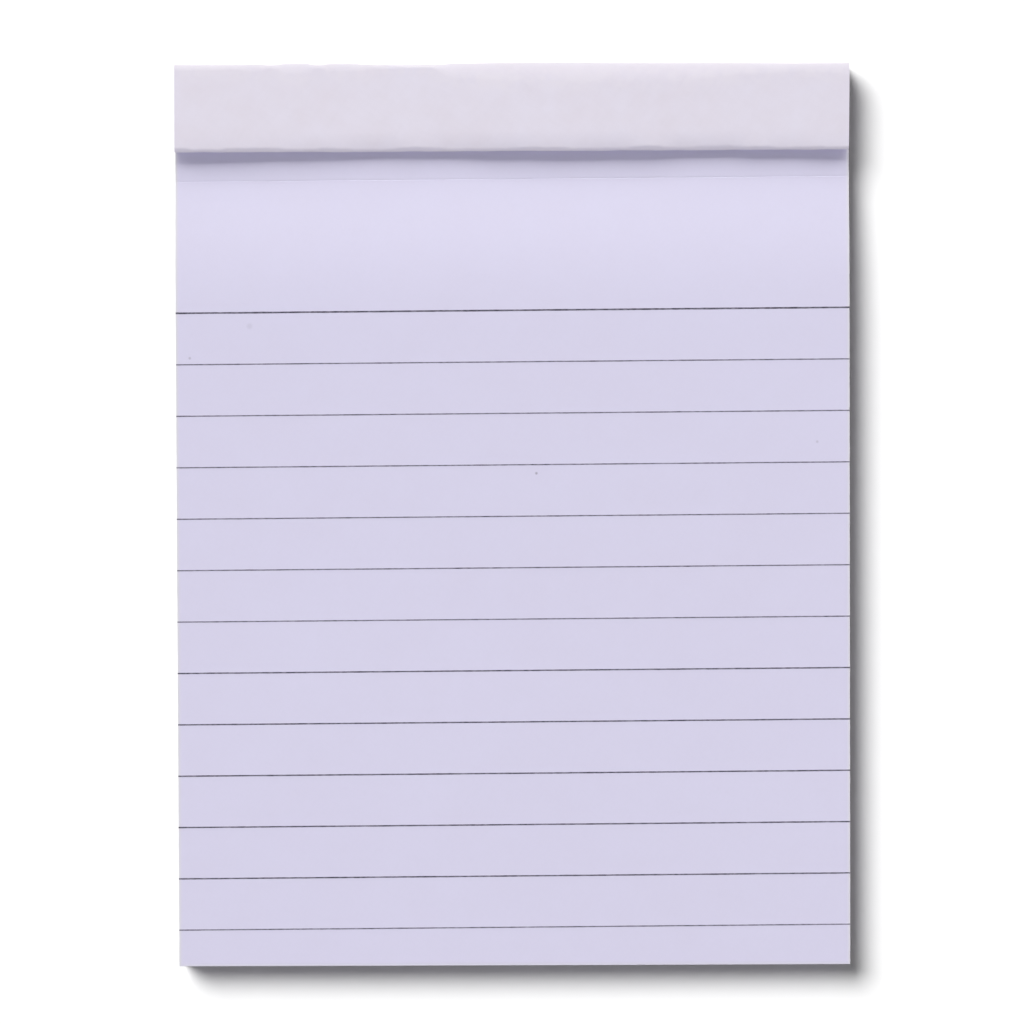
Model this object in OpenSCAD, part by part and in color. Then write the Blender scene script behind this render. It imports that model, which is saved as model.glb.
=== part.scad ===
// Head-bound ruled writing pad, lying face up.
// A block of ruled leaves lies on a stiff backing board. Gum along the head edge holds the leaves.
// A paper strip binds the head: it is glued to the top leaf, doubles back over itself at a soft
// fold, rolls over the head and is glued down again on the back of the board.
// Axes: +X to the right of the page, +Y towards the head, +Z up out of the page.
// Origin: middle of the footprint, on the surface that the pad lies on.

/* [Leaves] */
// Width of a leaf
leaf_w = 114.3; // [80:0.1:220]
// Length of a leaf from head to foot
leaf_l = 152.4; // [110:0.1:300]
// Thickness of one leaf
leaf_t = 0.09; // [0.06:0.01:0.15]
// Number of leaves
leaves = 50; // [20:1:100]
// How much thicker the block is where the binding no longer nips it
loft = 1.4; // [0.1:0.05:2]
// Length of the slope from the tear line to the full thickness
loft_run = 29.5; // [15:0.5:60]

/* [Backing board] */
// Thickness of the board
board_t = 0.8; // [0.5:0.05:1.5]

/* [Head gum] */
// Thickness of the gum on the head edge
gum_t = 0.4; // [0.2:0.05:0.8]

/* [Binding strip] */
// Thickness of the strip's paper
strip_t = 0.18; // [0.1:0.01:0.3]
// Height of the strip on the front, from the head to the fold
strip_front = 14.7; // [10:0.1:25]
// Height of the strip on the back
strip_back = 14.7; // [8:0.1:25]
// Height of the fold above the top leaf
fold_h = 1.8; // [1.2:0.05:2.5]
// Length of the curve from the level face to the fold's nose
crown_run = 3.2; // [1:0.1:5]
// Drop of the curve from the level face to the fold's nose
crown_drop = 0.65; // [0.3:0.05:0.8]
// Length of the curve from the fold's nose to the end that is glued to the top leaf
tuck_run = 1.2; // [0.6:0.1:4]
// Length of the curve from the level face to the head
roll_run = 3; // [1:0.1:5]
// Drop of the curve from the level face to the head
roll_drop = 0.9; // [0.6:0.05:1.5]

/* [Tear line] */
// Distance from the fold to the tear line
tear_gap = 4.7; // [2:0.1:10]
// Length of one slit
slit_l = 0.7; // [0.4:0.05:1]
// Width of one slit
slit_w = 0.12; // [0.08:0.01:0.2]
// Distance from one slit to the next
slit_pitch = 1.2; // [1.1:0.05:2]

/* [Ruling] */
// Distance from the tear line to the first ruled line
first_gap = 22.35; // [12:0.05:40]
// Distance from one ruled line to the next
line_pitch = 8.73; // [6:0.01:12]
// Width of a ruled line
line_w = 0.2; // [0.1:0.01:0.4]
// Width of the first ruled line, which is the heaviest
first_line_w = 0.28; // [0.1:0.01:0.5]
// Thickness of the ink
ink_t = 0.02; // [0.01:0.005:0.05]
// Turn of the ruling and the tear line against the leaf's edges, in degrees
ruling_skew = 0.32; // [-1:0.01:1]
// Least distance from the last ruled line to the foot
foot_gap = 3; // [2:0.5:15]

/* [Hidden] */

// Sides of a full circle
$fn = 96;
// Steps in the slope of the top leaf
slope_steps = 16;
// How gently the slope starts, from 0 for steepest at the tear line to 4 for level there
slope_ease = 3;
// The strip's height, which reaches past every bend and every face that is cut
past = strip_front;

// Levels, from the surface that the pad lies on
nip_top = board_t + leaves * leaf_t;
full_top = nip_top + loft;
strip_top = nip_top + fold_h;
nose_z = strip_top - crown_drop;

// Places along the pad
pad_l = leaf_l + gum_t + strip_t;
foot_y = -pad_l / 2;
head_y = foot_y + leaf_l;
outer_y = pad_l / 2;
middle_y = foot_y + leaf_l / 2;
fold_y = outer_y - strip_front;
flap_y = outer_y - strip_back;
tear_y = fold_y - tear_gap;
first_y = tear_y - first_gap;

// What repeats across and along the page
slit_count = floor(leaf_w / slit_pitch) - 1;
line_count = floor((first_y - foot_y - foot_gap) / line_pitch) + 1;

// Bends of the strip, each a centre in the Y-Z plane and the outer reaches in Y and in Z
hem_reach = [gum_t + strip_t, gum_t + strip_t];
hem_c = [head_y, hem_reach[1]];
roll_reach = [roll_run, roll_drop];
roll_c = [outer_y - roll_run, strip_top - roll_drop];
crown_reach = [crown_run, crown_drop];
crown_c = [fold_y + crown_run, nose_z];
tuck_reach = [tuck_run, nose_z - nip_top];
tuck_c = [fold_y + tuck_run, nose_z];

// The gum fills the head behind the strip, up to where the strip starts to roll over
gum_top = min(nip_top, roll_c[1]);

// Height of the slope at u, from 0 at the tear line, where the leaf bends, to 1 at the full thickness
function slope_rise(u) = loft * (1 - pow(1 - u, 4) * (1 + slope_ease * u));

// Top of the block from head to foot, raised by an amount
function block_top(raise) = concat(
    [[head_y, nip_top + raise]],
    [for (i = [0:slope_steps])
        let (u = i / slope_steps) [tear_y - loft_run * u, nip_top + slope_rise(u) + raise]],
    [[foot_y, full_top + raise]]);

// A list from its last entry to its first
function backwards(list) = [for (i = [len(list) - 1:-1:0]) list[i]];

// Carries a Y-Z outline across the width of the pad
module across() {
    translate([-leaf_w / 2, 0, 0])
        rotate([90, 0, 90])
            linear_extrude(leaf_w)
                children();
}

// Turns the print and the tear line about the middle of the leaf
module skewed() {
    translate([0, middle_y, 0])
        rotate([0, 0, ruling_skew])
            translate([0, -middle_y, 0])
                children();
}

// A quarter of an ellipse, filled, on the side of its centre that the two signs name
module quarter(reach, side_y, side_z) {
    intersection() {
        scale(reach) circle(1);
        translate([side_y < 0 ? -past : 0, side_z < 0 ? -past : 0]) square(past);
    }
}

// A quarter bend of the strip's paper, from its outer reaches
module quarter_bend(centre, reach, side_y, side_z) {
    translate(centre)
        difference() {
            quarter(reach, side_y, side_z);
            quarter([reach[0] - strip_t, reach[1] - strip_t], side_y, side_z);
        }
}

// The row of slits, which go through the top leaf only
module slits() {
    first_x = -(slit_count - 1) * slit_pitch / 2;
    skewed()
        for (i = [0:slit_count - 1])
            translate([first_x + i * slit_pitch - slit_l / 2, tear_y - slit_w / 2, nip_top - leaf_t])
                cube([slit_l, slit_w, past]);
}

// The place of every ruled line, reaching past the page
module line_bars() {
    skewed()
        for (i = [0:line_count - 1])
            let (w = i == 0 ? first_line_w : line_w)
                translate([-leaf_w / 2 - past, first_y - i * line_pitch - w / 2, nip_top - past])
                    cube([leaf_w + 2 * past, w, loft + 2 * past]);
}

module page_block() {
    color("#d7d3e9")
        difference() {
            across() polygon(concat([[foot_y, board_t], [head_y, board_t]], block_top(0)));
            slits();
        }
}

module ruled_lines() {
    color("#5a5664")
        intersection() {
            across() polygon(concat(block_top(ink_t), backwards(block_top(0))));
            line_bars();
        }
}

module backing_board() {
    color("#a39c90")
        across()
            polygon([[foot_y, 0], [flap_y, 0], [flap_y, strip_t], [head_y, strip_t],
                     [head_y, board_t], [foot_y, board_t]]);
}

module head_gum() {
    color("#e9e6da")
        across() {
            translate(hem_c) quarter([gum_t, gum_t], 1, -1);
            translate(hem_c) square([gum_t, gum_top - hem_c[1]]);
        }
}

module binding_strip() {
    color("#dfdae7")
        across() {
            translate([flap_y, 0]) square([head_y - flap_y, strip_t]);
            quarter_bend(hem_c, hem_reach, 1, -1);
            translate([head_y + gum_t, hem_c[1]]) square([strip_t, roll_c[1] - hem_c[1]]);
            quarter_bend(roll_c, roll_reach, 1, 1);
            translate([crown_c[0], strip_top - strip_t]) square([roll_c[0] - crown_c[0], strip_t]);
            quarter_bend(crown_c, crown_reach, -1, 1);
            quarter_bend(tuck_c, tuck_reach, -1, -1);
            translate([tuck_c[0], nip_top]) square([head_y - tuck_c[0], strip_t]);
        }
}

page_block();
ruled_lines();
backing_board();
head_gum();
binding_strip();
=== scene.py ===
"""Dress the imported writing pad: its leaves, ruling, board, gum and folded binding strip, in a pale studio.

Lengths are in metres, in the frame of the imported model: +X to the right of the page, +Y towards the bound
head and +Z up out of the page. The pad lies on its back, with its underside at z = 0.
"""

import logging
import math
from collections.abc import Sequence
from dataclasses import dataclass, field
from enum import Enum

import bpy
import numpy as np
from mathutils import Matrix, Vector


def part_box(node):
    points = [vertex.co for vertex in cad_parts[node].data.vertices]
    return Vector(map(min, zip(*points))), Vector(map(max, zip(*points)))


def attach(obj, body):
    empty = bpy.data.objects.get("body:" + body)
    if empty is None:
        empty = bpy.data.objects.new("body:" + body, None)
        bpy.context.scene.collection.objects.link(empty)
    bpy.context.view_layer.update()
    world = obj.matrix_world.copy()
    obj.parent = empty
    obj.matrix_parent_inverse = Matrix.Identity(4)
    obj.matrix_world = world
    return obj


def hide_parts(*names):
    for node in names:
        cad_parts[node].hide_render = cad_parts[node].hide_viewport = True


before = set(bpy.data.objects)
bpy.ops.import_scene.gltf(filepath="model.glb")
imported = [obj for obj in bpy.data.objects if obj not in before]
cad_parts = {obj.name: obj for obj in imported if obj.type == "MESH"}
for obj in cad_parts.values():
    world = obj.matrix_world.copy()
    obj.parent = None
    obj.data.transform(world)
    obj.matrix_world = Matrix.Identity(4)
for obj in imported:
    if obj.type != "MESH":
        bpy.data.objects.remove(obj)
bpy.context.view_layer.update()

LOG = logging.getLogger("writing_pad")
BODY = "root"
MM = 0.001
# A length too small to matter
HAIR = 1e-7

Array = np.ndarray
Colour = tuple[float, float, float]
Socket = bpy.types.NodeSocket


def ripple(at: Array, lengths: Sequence[float], seed: int) -> Array:
    """Smooth seeded noise along a line: the mean of sines of the given wavelengths, each at a random phase.

    Args:
        at: Places along the line.
        lengths: Wavelengths of the sines.
        seed: Seed of the phases.

    Returns:
        Values between -1 and 1, in the shape of the places.
    """
    phases = np.random.default_rng(seed).uniform(0, 2 * np.pi, len(lengths))
    return np.sin(2 * np.pi * at[..., None] / np.asarray(lengths) + phases).mean(axis=-1)


def swell(x: Array, y: Array, lengths: Sequence[float], seed: int) -> Array:
    """Smooth seeded noise over a plane: the mean of plane waves, each with a random heading and phase.

    Args:
        x: First coordinate of the places.
        y: Second coordinate of the places.
        lengths: Wavelengths of the waves.
        seed: Seed of the headings and phases.

    Returns:
        Values between -1 and 1, in the shape of the places.
    """
    draw = np.random.default_rng(seed)
    headings = draw.uniform(0, np.pi, len(lengths))
    phases = draw.uniform(0, 2 * np.pi, len(lengths))
    along = x[..., None] * np.cos(headings) + y[..., None] * np.sin(headings)
    return np.sin(2 * np.pi * along / np.asarray(lengths) + phases).mean(axis=-1)


def smooth_step(t: Array) -> Array:
    """Ease from 0 to 1 as t goes from 0 to 1, by 3 t squared less 2 t cubed."""
    t = np.clip(t, 0, 1)
    return t * t * (3 - 2 * t)


def bell(off: Array, width: float) -> Array:
    """A bell curve: e to the power of minus the square of the distance in widths."""
    return np.exp(-((off / width) ** 2))


def eased(at: Array, values: Sequence[float]) -> Array:
    """Values spread evenly over a line and joined by smooth steps.

    Args:
        at: Places along the line, from -1 at the first value to 1 at the last.
        values: The values in order.

    Returns:
        The values at the places.
    """
    known = np.asarray(values)
    span = (np.clip(at, -1, 1) + 1) / 2 * (len(known) - 1)
    low = np.minimum(span.astype(int), len(known) - 2)
    return known[low] + (known[low + 1] - known[low]) * smooth_step(span - low)


def border(rows: int, columns: int) -> Array:
    """Indices of the points round a grid that is stored row by row.

    Args:
        rows: Rows of the grid.
        columns: Points in each row.

    Returns:
        The indices, anticlockwise when columns run to the right and rows run upwards.
    """
    index = np.arange(rows * columns).reshape(rows, columns)
    return np.concatenate([index[0, :-1], index[:-1, -1], index[-1, :0:-1], index[:0:-1, 0]])


def grid_quads(rows: int, columns: int) -> Array:
    """Corners of the quads of a grid that is stored row by row.

    Args:
        rows: Rows of the grid.
        columns: Points in each row.

    Returns:
        One row of four point indices for each quad, facing along column direction x row direction.
    """
    index = np.arange(rows * columns).reshape(rows, columns)
    corners = [index[:-1, :-1], index[:-1, 1:], index[1:, 1:], index[1:, :-1]]
    return np.stack(corners, axis=-1).reshape(-1, 4)


def closed_sheet(upper: Array, lower: Array, walls: Array | None = None) -> tuple[Array, Array]:
    """Join two grids of one shape into a closed shell, with rings of quads between their borders.

    Args:
        upper: Points of the outer face, as rows x columns x 3.
        lower: Points of the inner face, in the same order.
        walls: Rings of points between the two borders, from the lower to the upper, or nothing.

    Returns:
        The points and the quads of the shell, in the order upper, lower, walls.
    """
    rows, columns = upper.shape[:2]
    count = rows * columns
    quads = grid_quads(rows, columns)
    rim = border(rows, columns)
    between = np.empty((0, len(rim), 3)) if walls is None else walls
    rings = 2 * count + np.arange(between.shape[0] * len(rim)).reshape(-1, len(rim))
    ladder = np.vstack([rim + count, rings, rim])
    onward = np.roll(ladder, -1, axis=1)
    sides = np.stack([ladder[:-1], onward[:-1], onward[1:], ladder[1:]], axis=-1).reshape(-1, 4)
    points = np.concatenate([upper.reshape(-1, 3), lower.reshape(-1, 3), between.reshape(-1, 3)])
    return points, np.concatenate([quads, quads[:, ::-1] + count, sides])


@dataclass
class Shell:
    """Points, faces and per-point values of a piece before it becomes a mesh."""

    points: Array
    faces: Array
    values: dict[str, Array] = field(default_factory=dict)

    @classmethod
    def joined(cls, shells: Sequence["Shell"]) -> "Shell":
        """Put several shells into one.

        Args:
            shells: Shells that carry the same values.

        Returns:
            One shell with all their points and faces.
        """
        starts = np.cumsum([0] + [len(shell.points) for shell in shells[:-1]])
        faces = np.concatenate([shell.faces + start for shell, start in zip(shells, starts)])
        names = shells[0].values
        values = {name: np.concatenate([shell.values[name] for shell in shells]) for name in names}
        return cls(np.concatenate([shell.points for shell in shells]), faces, values)

    def piece(self, name: str, material: bpy.types.Material, crease: float = 40.0) -> bpy.types.Object:
        """Make the shell a mesh object that rides on the pad's body.

        Args:
            name: Name of the piece.
            material: Finish of the whole piece.
            crease: Angle in degrees past which an edge is shaded as sharp.

        Returns:
            The new object, at the origin.
        """
        mesh = bpy.data.meshes.new(name)
        mesh.from_pydata(self.points.tolist(), [], self.faces.tolist())
        for label, values in self.values.items():
            layer = mesh.attributes.new(label, "FLOAT", "POINT")
            layer.data.foreach_set("value", np.ascontiguousarray(values, dtype=np.float32))
        mesh.polygons.foreach_set("use_smooth", np.ones(len(mesh.polygons), dtype=bool))
        mesh.set_sharp_from_angle(angle=math.radians(crease))
        mesh.materials.append(material)
        mesh.update()
        made = bpy.data.objects.new(name, mesh)
        bpy.context.scene.collection.objects.link(made)
        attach(made, BODY)
        return made


class NodeBench:
    """Places and joins the nodes of one shader tree."""

    def __init__(self, tree: bpy.types.NodeTree) -> None:
        """Take the tree to work on."""
        self.tree = tree

    def fill(self, socket: Socket, value: object) -> None:
        """Link a socket into another, or set its plain value.

        Args:
            socket: Input to fill.
            value: Output socket to link, or the value to set.
        """
        if isinstance(value, bpy.types.NodeSocket):
            self.tree.links.new(value, socket)
        else:
            socket.default_value = value

    def add(self, kind: str, inputs: dict[str, object] | None = None, **settings: object) -> bpy.types.Node:
        """Add a node.

        Args:
            kind: Blender's type name of the node.
            inputs: Links or values for its inputs, by socket name.
            **settings: Properties of the node.

        Returns:
            The new node.
        """
        node = self.tree.nodes.new(kind)
        for key, value in settings.items():
            setattr(node, key, value)
        for key, value in (inputs or {}).items():
            self.fill(node.inputs[key], value)
        return node

    def math(self, operation: str, first: object, second: object = 0.0) -> Socket:
        """Work out one number from two.

        Args:
            operation: Blender's name of the operation.
            first: First link or value.
            second: Second link or value.

        Returns:
            The result's socket.
        """
        node = self.add("ShaderNodeMath", operation=operation)
        self.fill(node.inputs[0], first)
        self.fill(node.inputs[1], second)
        return node.outputs[0]

    def spread(self, value: Socket, low: float, high: float, new_low: float, new_high: float) -> Socket:
        """Carry a number from one range to another, held within the new one.

        Args:
            value: Number to carry over.
            low: Start of the old range.
            high: End of the old range.
            new_low: Start of the new range.
            new_high: End of the new range.

        Returns:
            The result's socket.
        """
        ends = {"Value": value, "From Min": low, "From Max": high, "To Min": new_low, "To Max": new_high}
        return self.add("ShaderNodeMapRange", ends).outputs["Result"]

    def tint(self, mask: Socket, first: object, second: object) -> Socket:
        """Mix two colours by a mask.

        Args:
            mask: Share of the second colour.
            first: Colour where the mask is 0, as a link or a plain colour.
            second: Colour where the mask is 1, as a link or a plain colour.

        Returns:
            The mixed colour's socket.
        """
        node = self.add("ShaderNodeMix", data_type="RGBA")
        for socket, value in ((node.inputs[0], mask), (node.inputs[6], first), (node.inputs[7], second)):
            self.fill(socket, (*value, 1.0) if isinstance(value, tuple) else value)
        return node.outputs[2]

    def place(self) -> Socket:
        """The place of a point in the pad's own frame."""
        return self.add("ShaderNodeTexCoord").outputs["Object"]

    def value(self, label: str) -> Socket:
        """A value that the mesh carries at its points."""
        return self.add("ShaderNodeAttribute", attribute_name=label).outputs["Fac"]


class Effect:
    """A shader node group that is built once and placed in each material that uses it."""

    name: str = ""
    inputs: tuple[str, ...] = ()
    outputs: tuple[str, ...] = ()

    def draw(self, bench: NodeBench, given: dict[str, Socket]) -> dict[str, Socket]:
        """Draw the inside of the group.

        Args:
            bench: Bench on the group's tree.
            given: The group's inputs by name.

        Returns:
            What feeds each output, by name.
        """
        raise NotImplementedError

    def tree(self) -> bpy.types.NodeTree:
        """Find the group, or build it the first time.

        Returns:
            The group's tree.
        """
        found = bpy.data.node_groups.get(self.name)
        if found:
            return found
        tree = bpy.data.node_groups.new(self.name, "ShaderNodeTree")
        tree.interface.new_socket(name="Place", in_out="INPUT", socket_type="NodeSocketVector")
        for name in self.inputs:
            tree.interface.new_socket(name=name, in_out="INPUT", socket_type="NodeSocketFloat")
        for name in self.outputs:
            tree.interface.new_socket(name=name, in_out="OUTPUT", socket_type="NodeSocketFloat")
        bench = NodeBench(tree)
        entry = bench.add("NodeGroupInput")
        given = {name: entry.outputs[name] for name in ("Place", *self.inputs)}
        bench.add("NodeGroupOutput", self.draw(bench, given))
        return tree

    def placed(self, bench: NodeBench, place: Socket, **values: float) -> bpy.types.Node:
        """Place the group in a material.

        Args:
            bench: Bench on the material's tree.
            place: Place of the point in the pad's frame.
            **values: The group's other inputs by name.

        Returns:
            The group's node.
        """
        node = bench.add("ShaderNodeGroup", node_tree=self.tree())
        for key, value in {"Place": place, **values}.items():
            bench.fill(node.inputs[key], value)
        return node


class CloudTint(Effect):
    """Slow, soft change of tone over a surface, as paper pulp and dried glue show."""

    name = "cloud_tint"
    inputs = ("Scale", "Contrast")
    outputs = ("Mask",)

    finer: float = 4.3
    detail: float = 2.0

    def draw(self, bench: NodeBench, given: dict[str, Socket]) -> dict[str, Socket]:
        """Draw two layers of noise, the second one finer, averaged and stretched about one half.

        Args:
            bench: Bench on the group's tree.
            given: The group's inputs by name.

        Returns:
            What feeds the mask.
        """
        fine_scale = bench.math("MULTIPLY", given["Scale"], self.finer)
        layers = []
        for scale in (given["Scale"], fine_scale):
            values = {"Vector": given["Place"], "Scale": scale, "Detail": self.detail}
            layers.append(bench.add("ShaderNodeTexNoise", values).outputs[0])
        total = bench.math("ADD", *layers)
        lean = bench.math("MULTIPLY", bench.math("SUBTRACT", total, 1.0), given["Contrast"])
        node = bench.add("ShaderNodeMath", operation="ADD", use_clamp=True)
        bench.fill(node.inputs[0], lean)
        bench.fill(node.inputs[1], 0.5)
        return {"Mask": node.outputs[0]}


class FibreTooth(Effect):
    """Matted fibres in two headings: a height for the tooth and a shade for the fibres that show."""

    name = "fibre_tooth"
    inputs = ("Scale", "Stretch")
    outputs = ("Height", "Shade")

    headings: tuple[float, float] = (0.6, -0.95)
    detail: float = 3.0
    showing: tuple[float, float] = (0.42, 0.66)

    def draw(self, bench: NodeBench, given: dict[str, Socket]) -> dict[str, Socket]:
        """Draw two noises, each drawn out along its own heading, and the brighter part of their mean.

        Args:
            bench: Bench on the group's tree.
            given: The group's inputs by name.

        Returns:
            What feeds the height and the shade.
        """
        along = {"X": given["Stretch"], "Y": 1.0, "Z": 1.0}
        stretch = bench.add("ShaderNodeCombineXYZ", along).outputs[0]
        layers = []
        for heading in self.headings:
            turned = bench.add("ShaderNodeVectorRotate",
                               {"Vector": given["Place"], "Angle": heading}, rotation_type="Z_AXIS")
            drawn = bench.add("ShaderNodeVectorMath", operation="DIVIDE")
            bench.fill(drawn.inputs[0], turned.outputs[0])
            bench.fill(drawn.inputs[1], stretch)
            values = {"Vector": drawn.outputs[0], "Scale": given["Scale"], "Detail": self.detail}
            layers.append(bench.add("ShaderNodeTexNoise", values).outputs[0])
        height = bench.math("MULTIPLY", bench.math("ADD", *layers), 0.5)
        return {"Height": height, "Shade": bench.spread(height, *self.showing, 0.0, 1.0)}


class StraySpecks(Effect):
    """A few small specks, each in its own cell of space and of its own size."""

    name = "stray_specks"
    inputs = ("Scale", "Size", "Share")
    outputs = ("Mask",)

    least: float = 0.4
    core: float = 0.6

    def draw(self, bench: NodeBench, given: dict[str, Socket]) -> dict[str, Socket]:
        """Draw cells by nearest point: some are chosen by chance, and each shows a dot of chance size.

        Args:
            bench: Bench on the group's tree.
            given: The group's inputs by name.

        Returns:
            What feeds the mask.
        """
        cells = bench.add("ShaderNodeTexVoronoi", {"Vector": given["Place"], "Scale": given["Scale"]})
        chance = bench.add("ShaderNodeSeparateColor", {"Color": cells.outputs["Color"]})
        chosen = bench.math("LESS_THAN", chance.outputs[0], given["Share"])
        reach = bench.math("MULTIPLY", given["Size"], bench.math("ADD", chance.outputs[1], self.least))
        near = bench.math("DIVIDE", cells.outputs["Distance"], reach)
        return {"Mask": bench.math("MULTIPLY", chosen, bench.spread(near, self.core, 1.0, 1.0, 0.0))}


def new_surface(name: str) -> tuple[bpy.types.Material, NodeBench, bpy.types.Node]:
    """Start a material.

    Args:
        name: Name of the material.

    Returns:
        The material, a bench on its nodes and its surface shader.
    """
    material = bpy.data.materials.new(name)
    material.use_nodes = True
    bench = NodeBench(material.node_tree)
    return material, bench, material.node_tree.nodes["Principled BSDF"]


def set_gloss(shader: bpy.types.Node, specular: float) -> None:
    """Set the plain gloss on the shader's own socket."""
    shader.inputs["Specular IOR Level"].default_value = specular


@dataclass(frozen=True)
class Clouds:
    """Slow clouds in a finish: how close they lie and how strongly they show."""

    scale: float
    contrast: float

    def mask(self, bench: NodeBench, place: Socket) -> Socket:
        """Share of the clouded colour at a place."""
        node = CloudTint().placed(bench, place, Scale=self.scale, Contrast=self.contrast)
        return node.outputs["Mask"]


@dataclass(frozen=True)
class Fibres:
    """Fibres in a finish: how close they lie, how long they are and how rough they leave the surface."""

    scale: float
    stretch: float
    roughness: tuple[float, float]
    heights: tuple[float, float] = (0.3, 0.7)

    def roughen(self, bench: NodeBench, shader: bpy.types.Node, place: Socket) -> tuple[Socket, Socket]:
        """Place the fibres in a material and let their height roughen it.

        Args:
            bench: Bench on the material's tree.
            shader: The material's surface shader.
            place: Place of the point in the pad's frame.

        Returns:
            The fibres' height, and the shade of those that show.
        """
        node = FibreTooth().placed(bench, place, Scale=self.scale, Stretch=self.stretch)
        height, shade = node.outputs["Height"], node.outputs["Shade"]
        bench.fill(shader.inputs["Roughness"], bench.spread(height, *self.heights, *self.roughness))
        return height, shade


@dataclass(frozen=True)
class Relief:
    """How a height stands out of a surface: how strongly it shows, and its real depth."""

    strength: float
    depth: float

    def bump(self, bench: NodeBench, shader: bpy.types.Node, height: Socket) -> None:
        """Bump a surface by a height.

        Args:
            bench: Bench on the material's tree.
            shader: The material's surface shader.
            height: The height, from 0 to 1.
        """
        values = {"Height": height, "Strength": self.strength, "Distance": self.depth}
        node = bench.add("ShaderNodeBump", values)
        bench.fill(shader.inputs["Normal"], node.outputs[0])


@dataclass(frozen=True)
class Flecks:
    """Flecks of one colour: how close they lie, their size and the share of places that have one."""

    colour: Colour
    scale: float
    size: float
    share: float

    def mask(self, bench: NodeBench, place: Socket) -> Socket:
        """Share of the flecks' colour at a place."""
        node = StraySpecks().placed(bench, place, Scale=self.scale, Size=self.size, Share=self.share)
        return node.outputs["Mask"]


@dataclass(frozen=True)
class Mark:
    """A stray mark: its place, its radius, how dark it is and the share of its radius that is darkest."""

    x: float
    y: float
    radius: float
    strength: float
    core: float = 0.4

    def mask(self, bench: NodeBench, place: Socket) -> Socket:
        """Share of the mark's colour: full round its middle and nothing past its radius.

        Args:
            bench: Bench on the material's tree.
            place: Place of the point in the pad's frame, with no height.

        Returns:
            The mask's socket.
        """
        away = bench.add("ShaderNodeVectorMath", operation="DISTANCE")
        bench.fill(away.inputs[0], place)
        bench.fill(away.inputs[1], (self.x, self.y, 0.0))
        ends = (self.core * self.radius, self.radius)
        return bench.spread(away.outputs["Value"], *ends, self.strength, 0.0)


@dataclass(frozen=True)
class PagePaper:
    """Smooth, faintly violet writing paper: slow clouds, a fine tooth, a pale cut rim and stray marks."""

    base: Colour = (0.674, 0.649, 0.771)
    warm: Colour = (0.664, 0.635, 0.752)
    rim: Colour = (0.70, 0.684, 0.69)
    speck: Colour = (0.33, 0.31, 0.36)
    marks: tuple[Mark, ...] = (
        Mark(3.95 * MM, 7.1 * MM, 0.3 * MM, 0.75),
        Mark(-44.6 * MM, 32.2 * MM, 0.65 * MM, 0.16),
        Mark(-54.75 * MM, 26.8 * MM, 0.3 * MM, 0.45),
        Mark(51.6 * MM, 12.3 * MM, 0.3 * MM, 0.35),
    )
    clouds: Clouds = Clouds(38.0, 1.2)
    fibres: Fibres = Fibres(2600.0, 4.0, (0.84, 0.94))
    fibre_share: float = 0.05
    fibre_shade: float = 0.82
    tooth: Relief = Relief(0.35, 0.006 * MM)
    specular: float = 0.2

    def material(self) -> bpy.types.Material:
        """Build the finish.

        Returns:
            The new material.
        """
        material, bench, shader = new_surface("page_paper")
        place = bench.place()
        height, shade = self.fibres.roughen(bench, shader, place)
        colour = bench.tint(self.clouds.mask(bench, place), self.base, self.warm)
        fibre = bench.spread(shade, 0.0, 1.0, 0.0, self.fibre_share)
        colour = bench.tint(fibre, colour, tuple(self.fibre_shade * part for part in self.warm))
        colour = bench.tint(bench.value("rim"), colour, self.rim)
        flat = bench.add("ShaderNodeVectorMath", operation="MULTIPLY")
        bench.fill(flat.inputs[0], place)
        bench.fill(flat.inputs[1], (1.0, 1.0, 0.0))
        for mark in self.marks:
            colour = bench.tint(mark.mask(bench, flat.outputs[0]), colour, self.speck)
        bench.fill(shader.inputs["Base Color"], colour)
        self.tooth.bump(bench, shader, height)
        set_gloss(shader, self.specular)
        return material


@dataclass(frozen=True)
class LeafEdges:
    """The cut edges of many leaves: a pale stripe for each leaf and a line of painted shade in the crevice
    between two.
    """

    pale: Colour = (0.72, 0.69, 0.8)
    grey: Colour = (0.6, 0.57, 0.68)
    # colour, width and strength of the painted shade in the crevice between two leaves
    gap_shade: Colour = (0.3, 0.28, 0.34)
    gap_shade_width: float = 0.24
    gap_shade_share: float = 0.75
    clouds: Clouds = Clouds(110.0, 1.6)
    stripes: Relief = Relief(0.5, 0.03 * MM)
    roughness: tuple[float, float] = (0.86, 0.96)
    specular: float = 0.15

    def material(self) -> bpy.types.Material:
        """Build the finish.

        Returns:
            The new material.
        """
        material, bench, shader = new_surface("leaf_edges")
        leaf = bench.value("leaf")
        inside = bench.math("PINGPONG", leaf, 0.5)
        number = bench.math("FLOOR", leaf)
        chance = bench.add("ShaderNodeTexWhiteNoise", {"W": number}, noise_dimensions="1D")
        cloud = self.clouds.mask(bench, bench.place())
        tone = bench.math("MULTIPLY", bench.math("ADD", chance.outputs["Value"], cloud), 0.5)
        colour = bench.tint(tone, self.pale, self.grey)
        # painted shade: darkens each leaf's edge where it meets the next, standing in for the crevice's
        # shade
        between = bench.spread(inside, 0.0, self.gap_shade_width, self.gap_shade_share, 0.0)
        bench.fill(shader.inputs["Base Color"], bench.tint(between, colour, self.gap_shade))
        bench.fill(shader.inputs["Roughness"], bench.spread(tone, 0.0, 1.0, *self.roughness))
        self.stripes.bump(bench, shader, inside)
        set_gloss(shader, self.specular)
        return material


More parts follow.
